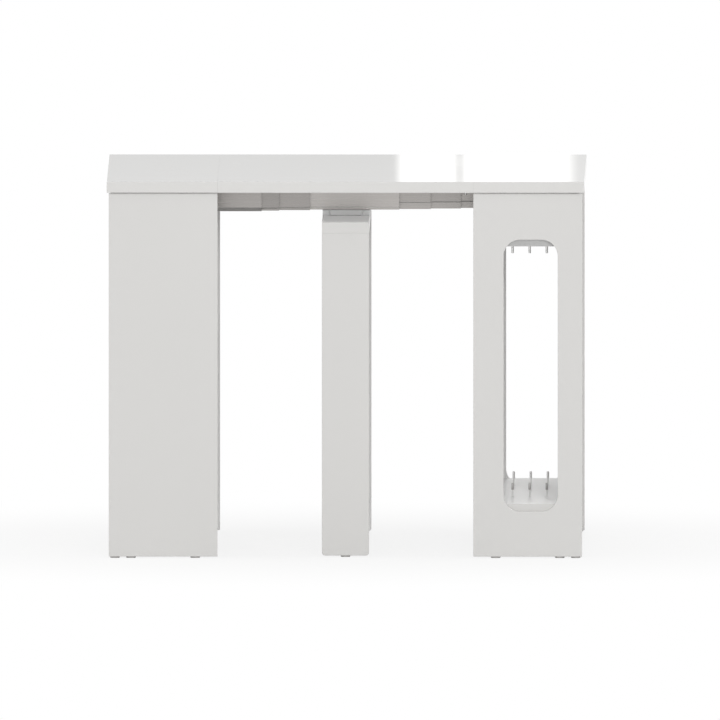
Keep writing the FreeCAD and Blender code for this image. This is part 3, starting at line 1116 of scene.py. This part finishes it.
@dataclass
class CentreLeg(SubAssembly):
    """The arch under the middle rails, hung from them by dovetails."""

    bracket_shares: tuple[float, ...] = (-0.27, 0.27)
    gasket_height: float = 0.0012
    gasket_depth: float = 0.004
    gasket_set_back: float = 0.0004
    gasket_fit: float = 0.00005
    foot_half_width: float = 0.0299

    @staticmethod
    def hollow() -> Point:
        """Half the length, half the width and the height of the arch between the leg's boards."""
        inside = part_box("leg_front_board")[1]
        return inside.x, abs(inside.y), inside.z

    def dress(self, finishes: Palette) -> None:
        """Give the leg's CAD pieces their finishes.

        Args:
            finishes: The table's finishes.
        """
        dress(finishes.leg, "leg_front_board", "leg_back_board")
        dress(finishes.cap, "leg_cap")
        dress(finishes.block, "leg_dovetail_front", "leg_dovetail_back")
        dress(finishes.socket, "leg_sockets")
        dress(finishes.zinc, "leg_angle_brackets")
        dress(finishes.plastic, "centre_leaf_pads")
        dress(finishes.glides, "leg_feet")

    def gaskets(self, name: str, level: float, reach: float, plastic: bpy.types.Material) -> bpy.types.Object:
        """Thin crowned strips in the rebates at one edge of the dovetails, front and back.

        Args:
            name: The piece's name.
            level: Height of their underside.
            reach: Half their length.
            plastic: Their finish.

        Returns:
            The piece.
        """
        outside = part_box("leg_sockets")[1].y
        section = crowned_section(
            (self.gasket_set_back, self.gasket_depth - self.gasket_fit),
            (level + self.gasket_fit, level + self.gasket_height - self.gasket_fit),
            self.gasket_set_back,
        )
        strips = [bar(behind_face(section, face.value, outside, 0.0), -reach, reach) for face in Face]
        return mount(reduce(operator.add, strips).piece(name, plastic), "centre")

    def build(self, finishes: Palette) -> list[bpy.types.Object]:
        """Set the screws of the leg's brackets and lay the gaskets over and under its blocks.

        Args:
            finishes: The table's finishes.

        Returns:
            The new pieces.
        """
        low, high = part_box("leg_front_board")
        width = high.x - low.x
        places = [
            ((share * width, -face.value * high.y, high.z), (0.0, -face.value, 0.0), DOWN)
            for face in Face
            for share in self.bracket_shares
        ]
        screws = BracketScrews("leg_cross_screws", "leg_bracket_screws", "centre", places)
        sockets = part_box("leg_sockets")[1]
        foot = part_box("leg_dovetail_front")[0].z
        over = sockets.z - self.gasket_height
        return [
            screws.build(finishes.zinc),
            self.gaskets("leg_joint_gaskets", over, sockets.x, finishes.strip),
            self.gaskets("leg_foot_gaskets", foot, self.foot_half_width, finishes.glides),
        ]


@dataclass
class LeafRack(SubAssembly):
    """The rack for spare leaves in the right column."""

    sleeve_start: float = 0.014

    def dress(self, finishes: Palette) -> None:
        """Give the rack's CAD pieces their finishes.

        Args:
            finishes: The table's finishes.
        """
        dress(finishes.rack_floor, "rack_floor")
        dress(finishes.rack_ceiling, "rack_ceiling")
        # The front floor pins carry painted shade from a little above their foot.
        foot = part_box("rack_floor_pins")[0].z
        dress(SleevedPinWithPaintedShade("floor_pin_painted_shade", foot + self.sleeve_start).material(), "rack_floor_pins")
        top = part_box("rack_ceiling_pins")[1].z
        dress(SleevedPinWithPaintedShade("plated_ceiling_pin", top).material(), "rack_ceiling_pins")


@dataclass
class Leaf(SubAssembly):
    """The loose leaf, and the round catches, let in flush, where it meets the half tops."""

    catch_shares: tuple[float, ...] = (-0.72, 0.0, 0.72)
    catch_radius: float = 0.006
    catch_proud: float = 0.00002
    catch_segments: int = 32

    # Shares of the catch's radius and of the height that it stands proud, from its back to its middle.
    CATCH_PROFILE = (
        (0.0, -1.0), (1.0, -1.0), (1.0, 0.6), (0.95, 1.0), (0.82, 1.0), (0.78, 0.2), (0.74, 0.2), (0.70, 0.8),
        (0.4, 1.0), (0.0, 1.0),
    )

    def dress(self, finishes: Palette) -> None:
        """Give the leaf the finish of the half tops."""
        dress(finishes.top, "leaf")

    def catch(self) -> Surface:
        """A thin turned disc with a rim, a groove and a slightly crowned middle."""
        profile = np.array(self.CATCH_PROFILE) * (self.catch_radius, self.catch_proud)
        return turned(profile, self.catch_segments)

    def set_in(
        self,
        name: str,
        body: str,
        edges: Sequence[tuple[float, float]],
        steel: bpy.types.Material,
    ) -> bpy.types.Object:
        """Set catches into board edges that face along X.

        Args:
            name: The piece's name.
            body: The body that it rides on.
            edges: Place along X and outward sign of each edge.
            steel: The finish.

        Returns:
            The piece.
        """
        low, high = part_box("leaf")
        level = (low.z + high.z) / 2
        origins = np.array([(x, share * high.y, level) for x, _ in edges for share in self.catch_shares])
        first = np.array([(0.0, sign, 0.0) for _, sign in edges for _ in self.catch_shares], dtype=float)
        second = np.tile((0.0, 0.0, 1.0), (len(origins), 1))
        catches = self.catch().at(origins, right_handed(first, second))
        return mount(catches.piece(name, steel), body)

    def build(self, finishes: Palette) -> list[bpy.types.Object]:
        """Set the catches of the leaf and of both half tops.

        Args:
            finishes: The table's finishes.

        Returns:
            The new pieces.
        """
        low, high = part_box("leaf")
        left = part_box("left_half_top")[1].x
        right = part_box("right_half_top")[0].x
        return [
            self.set_in("leaf_catches", "leaf", [(low.x, -1.0), (high.x, 1.0)], finishes.bright),
            self.set_in("left_top_catches", "left_end", [(left, 1.0)], finishes.bright),
            self.set_in("right_top_catches", "right_end", [(right, -1.0)], finishes.bright),
        ]


@dataclass(frozen=True)
class Softbox:
    """A square area light aimed at a point, by default the middle of the table."""

    name: str
    place: Point
    size: float
    power: float
    aim: Point = (0.0, 0.0, 0.4)

    def build(self) -> bpy.types.Object:
        """Make the light, which mirrors don't show.

        Returns:
            The light's object.
        """
        data = bpy.data.lights.new(self.name, "AREA")
        data.size = self.size
        data.energy = self.power
        light = bpy.data.objects.new(self.name, data)
        light.location = self.place
        light.visible_glossy = False
        direction = Vector(self.aim) - Vector(self.place)
        light.rotation_euler = direction.to_track_quat("-Z", "Y").to_euler()
        bpy.context.scene.collection.objects.link(light)
        return light


def show_to_mirrors(card: bpy.types.Object) -> bpy.types.Object:
    """Hide a card from every ray but those of mirrors.

    Args:
        card: The card.

    Returns:
        The same card.
    """
    card.visible_camera = False
    card.visible_diffuse = False
    card.visible_shadow = False
    card.visible_transmission = False
    return card


@dataclass
class CornerWindows:
    """A pair of tall bright panes off each corner of the table, which only mirrors see."""

    distance: float = 7.0
    bearings: tuple[float, ...] = (-0.75 * math.pi, -0.25 * math.pi, 0.25 * math.pi, 0.75 * math.pi)
    panes: tuple[tuple[float, float], ...] = ((-0.02, 0.2), (0.24, 0.46))
    low: float = 2.35
    high: float = 4.1
    light: float = 1.9

    def build(self) -> bpy.types.Object:
        """Hang the panes.

        At a bearing b from +Y towards +X, a point a to the right of a pair's middle lies at
        (distance sin b + a cos b, distance cos b - a sin b).

        Returns:
            The panes.
        """
        material, sheet = new_sheet("corner_window_light")
        sheet.finish(sheet.add("Emission", sockets={"Color": WINDOW_WHITE, "Strength": self.light}))
        across = np.array(self.panes)[:, [0, 1, 1, 0]]
        height = np.tile([self.low, self.low, self.high, self.high], (len(self.panes), 1))
        points = np.stack([across, np.zeros_like(across), height], axis=-1).reshape(-1, 3)
        pair = Surface(points, np.arange(len(points)).reshape(-1, 4))
        sine, cosine = np.sin(self.bearings), np.cos(self.bearings)
        zero, one = np.zeros_like(sine), np.ones_like(sine)
        away = np.stack([sine, cosine, zero], axis=-1)
        right = np.stack([cosine, -sine, zero], axis=-1)
        up = np.stack([zero, zero, one], axis=-1)
        windows = pair.at(self.distance * away, np.stack([right, away, up], axis=1))
        return show_to_mirrors(windows.piece("corner_windows", material))


@dataclass(frozen=True)
class Pane:
    """An upright stripe of the card between two soft edges, each with half its width as a blur."""

    start: float
    start_blur: float
    end: float
    end_blur: float

    def share(self, sheet: NodeSheet, across: Quantity) -> Quantity:
        """1 inside the pane and 0 outside it, from the place along X."""
        inside = sheet.step(across, self.start, self.start_blur)
        return inside * sheet.step(across, self.end, self.end_blur, 1.0, 0.0)


@dataclass
class Studio:
    """White surroundings, a pale floor, soft light and a card that the gloss top mirrors."""

    sky: float = 0.4
    floor_radius: float = 4.0
    floor_rings: int = 9
    floor_segments: int = 96
    floor_colour: Colour = (0.78, 0.778, 0.773)
    floor_white_share: float = 0.85
    fade_start: float = 0.5
    fade_end: float = 1.5
    card_distance: float = 7.0
    card_start: float = math.radians(-110.0)
    card_end: float = math.radians(40.0)
    card_steps: int = 61
    card_low: float = 0.9
    card_high: float = 3.2
    card_grey: float = 0.775
    card_right_grey: float = 0.863
    card_grey_start: float = 0.0
    card_grey_end: float = 0.4
    window: Pane = Pane(start=0.062, start_blur=0.012, end=0.407, end_blur=0.018)
    window_light: float = 1.35
    mullion: Pane = Pane(start=0.1755, start_blur=0.004, end=0.192, end_blur=0.004)
    mullion_light: float = 0.955

    LAMPS = (
        Softbox("key_softbox", (-0.1, -2.6, 2.5), size=1.6, power=17.0, aim=(0.0, -0.4, 0.6)),
        Softbox("fill_softbox", (1.2, -9.0, 1.6), size=1.7, power=220.0),
        Softbox("back_softbox", (-0.3, 4.2, 1.2), size=2.0, power=45.0),
        Softbox("left_softbox", (-4.0, -0.6, 1.3), size=2.0, power=38.0),
        Softbox("right_softbox", (4.0, -0.6, 1.3), size=2.0, power=38.0),
        Softbox("top_softbox", (0.0, -0.4, 3.5), size=2.6, power=20.0, aim=(0.0, -0.2, 0.0)),
    )

    @staticmethod
    def seen_directly(sheet: NodeSheet) -> Quantity:
        """Tell the rays that look at a surface from those that light others.

        Args:
            sheet: The nodes of the floor or the world.

        Returns:
            1 for camera, mirror and see-through rays, 0 for the rest.
        """
        kinds = ("Is Camera Ray", "Is Glossy Ray", "Is Transmission Ray")
        camera, glossy, through = (sheet.add("LightPath", output=kind) for kind in kinds)
        return sheet.maths("MINIMUM", camera + glossy + through, 1.0)

    def world(self) -> None:
        """White to the camera and to mirrors; a plain soft light for everything else."""
        world = bpy.data.worlds.new("studio")
        world.use_nodes = True
        sheet = NodeSheet(world.node_tree)
        light = sheet.add("Background", sockets={"Color": WHITE, "Strength": self.sky})
        white = sheet.add("Background", sockets={"Color": WHITE, "Strength": 1.0})
        mixed = sheet.add("MixShader", sockets={0: self.seen_directly(sheet), 1: light, 2: white})
        sheet.finish(mixed, "OutputWorld")
        bpy.context.scene.world = world

    def floor(self) -> bpy.types.Object:
        """A pale round floor that keeps soft shadows and turns white further out.

        Returns:
            The floor.
        """
        material, sheet = new_sheet("pale_floor")
        place = sheet.place((1.0, 1.0, 0.0))
        radius = sheet.add("VectorMath", {"operation": "LENGTH"}, {0: place}, output="Value")
        share = sheet.ramp(radius, self.fade_start, self.fade_end, self.floor_white_share, 1.0)
        matt = sheet.add("BsdfDiffuse", sockets={"Color": self.floor_colour})
        white = sheet.add("Emission", sockets={"Color": WHITE, "Strength": 1.0})
        share = share * self.seen_directly(sheet)
        sheet.finish(sheet.add("MixShader", sockets={0: share, 1: matt, 2: white}))
        rings = np.linspace(0.0, self.floor_radius, self.floor_rings)
        disc = turned(np.stack([rings, np.zeros_like(rings)], axis=-1), self.floor_segments)
        return disc.piece("floor", material)

    def card(self) -> bpy.types.Object:
        """A grey card with two bright window panes, bent round the left and the back, which only mirrors see.

        Each point is (distance sin angle, distance cos angle, height), with the angle measured from +Y.

        Returns:
            The card.
        """
        material, sheet = new_sheet("window_card")
        across = sheet.part(sheet.place(), "X")
        white = shade(WINDOW_WHITE, 1.0 / self.window_light)
        grey = sheet.blend(
            sheet.ramp(across, self.card_grey_start, self.card_grey_end),
            shade(white, self.card_grey),
            shade(white, self.card_right_grey),
        )
        panes = sheet.blend(self.window.share(sheet, across), grey, shade(white, self.window_light))
        colour = sheet.blend(self.mullion.share(sheet, across), panes, shade(white, self.mullion_light))
        sheet.finish(sheet.add("Emission", sockets={"Color": colour, "Strength": self.window_light}))
        angles = np.linspace(self.card_start, self.card_end, self.card_steps)
        heights = np.array([self.card_low, self.card_high])
        angle, height = np.meshgrid(angles, heights, indexing="ij")
        x, y = self.card_distance * np.sin(angle), self.card_distance * np.cos(angle)
        points = np.stack([x, y, height], axis=-1).reshape(-1, 3)
        card = Surface(points, grid_quads(self.card_steps, len(heights)))
        return show_to_mirrors(card.piece("window_card", material))

    def build(self) -> None:
        """Set up the surroundings and the lights."""
        self.world()
        self.floor()
        self.card()
        CornerWindows().build()
        for lamp in self.LAMPS:
            lamp.build()


@dataclass
class PhotoCamera:
    """A parallel view from a little above and a little to the right of the front."""

    azimuth: float = math.radians(0.34)
    elevation: float = math.radians(3.49)
    width: float = 1.436
    across: float = 0.0265
    up: float = 0.368
    distance: float = 12.0
    sight: float = 100.0

    def build(self) -> bpy.types.Object:
        """Make the camera and give it to the scene.

        Returns:
            The camera.
        """
        turn, rise = self.azimuth, self.elevation
        back = Vector((math.sin(turn) * math.cos(rise), -math.cos(turn) * math.cos(rise), math.sin(rise)))
        right = Vector((math.cos(turn), math.sin(turn), 0.0))
        top = back.cross(right)
        data = bpy.data.cameras.new("photo_camera")
        data.type = "ORTHO"
        data.ortho_scale = self.width
        data.clip_end = self.sight
        camera = bpy.data.objects.new("photo_camera", data)
        camera.location = right * self.across + top * self.up + back * self.distance
        camera.rotation_euler = Matrix((right, top, back)).transposed().to_euler()
        bpy.context.scene.collection.objects.link(camera)
        bpy.context.scene.camera = camera
        return camera


def main() -> None:
    """Dress and build every sub-assembly in order, then the studio and the camera."""
    logging.basicConfig(level=logging.INFO)
    finishes = Palette()
    ends = [TableEnd(side) for side in Side]
    for assembly in (*ends, RailSet(), CentreLeg(), LeafRack(), Leaf()):
        assembly.dress(finishes)
        for piece in assembly.build(finishes):
            LOG.info("built %s with %d faces", piece.name, len(piece.data.polygons))
    Studio().build()
    PhotoCamera().build()
    bpy.context.scene.view_settings.view_transform = "Standard"


if __name__ == "__main__":
    main()
